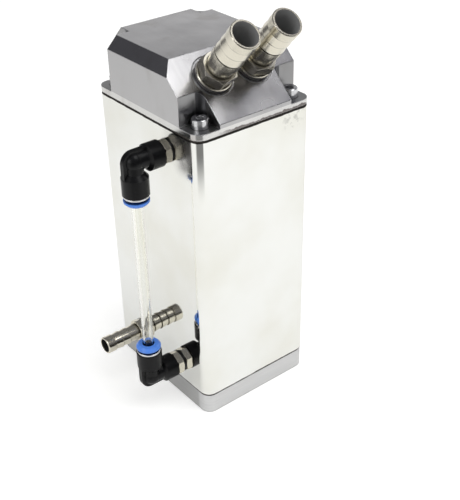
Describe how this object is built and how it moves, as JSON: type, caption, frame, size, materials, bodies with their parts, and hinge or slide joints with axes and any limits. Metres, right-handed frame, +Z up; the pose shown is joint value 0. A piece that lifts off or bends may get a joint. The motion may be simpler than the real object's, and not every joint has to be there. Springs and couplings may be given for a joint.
{
  "type": "oil catch can",
  "caption": "Square aluminium tank with a bolted lid, upper hose barbs on a slanted face, a side drain barb and a clear sight tube between push-in elbows.",
  "frame": {"origin": "centre of the base plate's underside", "axes": "+Z up, -Y to the front where the slanted face and the upper barbs are, -X to the side with the sight tube"},
  "size_m": [0.0998, 0.1004, 0.2234],
  "materials": {
    "polished_tank": "mirror polished",
    "satin_plate": "satin",
    "lid_metal": "fine milled, silver anodised",
    "gasket": "matte sheet rubber",
    "screw_steel": "bright stainless",
    "nickel_brass": "nickel plated, turned",
    "washer_metal": "plain grey",
    "clear_tube": "clear polyurethane",
    "elbow_plastic": "black satin",
    "seal_rubber": "black rubber",
    "spring_steel": "plain spring steel",
    "guide_metal": "nickel plated",
    "release_plastic": "light blue"
  },
  "bodies": {
    "can": {"tank_body": "polished_tank", "base_plate": "satin_plate", "base_gasket": "gasket", "base_screws": "screw_steel", "lid": "lid_metal", "lid_gasket": "gasket", "lid_screws": "screw_steel", "left_hose_barb": "nickel_brass", "left_barb_washer": "washer_metal", "right_hose_barb": "nickel_brass", "right_barb_washer": "washer_metal", "side_hose_barb": "nickel_brass", "side_barb_washer": "washer_metal", "sight_tube": "clear_tube", "upper_elbow": "elbow_plastic", "upper_stud": "nickel_brass", "upper_stud_washer": "seal_rubber", "upper_stem_seal": "seal_rubber", "upper_tube_seal": "seal_rubber", "upper_grab_ring": "spring_steel", "upper_guide_ring": "guide_metal", "lower_elbow": "elbow_plastic", "lower_stud": "nickel_brass", "lower_stud_washer": "seal_rubber", "lower_stem_seal": "seal_rubber", "lower_tube_seal": "seal_rubber", "lower_grab_ring": "spring_steel", "lower_guide_ring": "guide_metal"},
    "upper_release": {"upper_release_ring": "release_plastic"},
    "lower_release": {"lower_release_ring": "release_plastic"}
  },
  "joints": [
    {"name": "upper_release_press", "type": "slide", "parent": "can", "child": "upper_release", "axis": [0, 0, 1], "range_m": [0, 0.0012], "stiffness_N_per_m": 1000, "springref_m": -0.001},
    {"name": "lower_release_press", "type": "slide", "parent": "can", "child": "lower_release", "axis": [0, 0, -1], "range_m": [0, 0.0012], "stiffness_N_per_m": 1000, "springref_m": -0.001}
  ]
}
